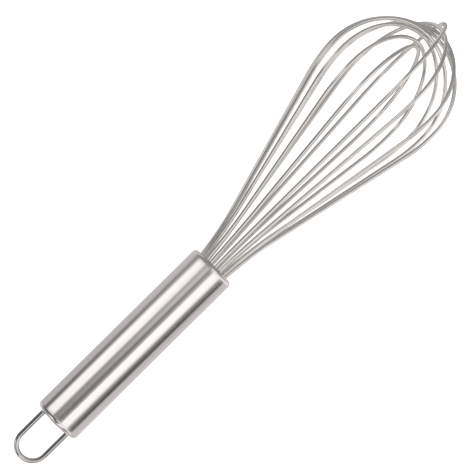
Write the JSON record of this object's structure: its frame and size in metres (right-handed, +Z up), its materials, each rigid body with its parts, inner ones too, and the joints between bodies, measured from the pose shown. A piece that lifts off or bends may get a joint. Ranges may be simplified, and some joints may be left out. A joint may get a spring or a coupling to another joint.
{
  "type": "balloon whisk",
  "caption": "Balloon whisk with round wire loops stacked at the crown, gathered in a closed tubular steel handle with a wire hanging loop.",
  "frame": {"origin": "centre of the whisk's footprint, on the flat surface it lies on", "axes": "+X along the whisk towards the tip of the balloon, +Z straight up from the surface, +Y to the left of the handle seen from its end; the handle's axis rises 5.67 degrees towards the balloon"},
  "size_m": [0.2991, 0.0705, 0.0714],
  "materials": {
    "handle_steel": "satin, finely brushed along the tube",
    "hanger_wire": "bright drawn wire",
    "whisk_wire": "bright drawn wire",
    "grip_steel": "plain turned steel, inside the handle",
    "seal_resin": "matt cast resin"
  },
  "bodies": {
    "root": {"handle_tube": "handle_steel", "mouth_seal": "seal_resin", "wire_core": "grip_steel", "wire_ferrule": "grip_steel", "rear_cap": "handle_steel", "rear_seal": "seal_resin", "hanging_loop": "hanger_wire", "wire_loop_1": "whisk_wire", "wire_loop_2": "whisk_wire", "wire_loop_3": "whisk_wire", "wire_loop_4": "whisk_wire", "wire_loop_5": "whisk_wire", "wire_loop_6": "whisk_wire", "wire_loop_7": "whisk_wire", "wire_loop_8": "whisk_wire"}
  },
  "joints": []
}
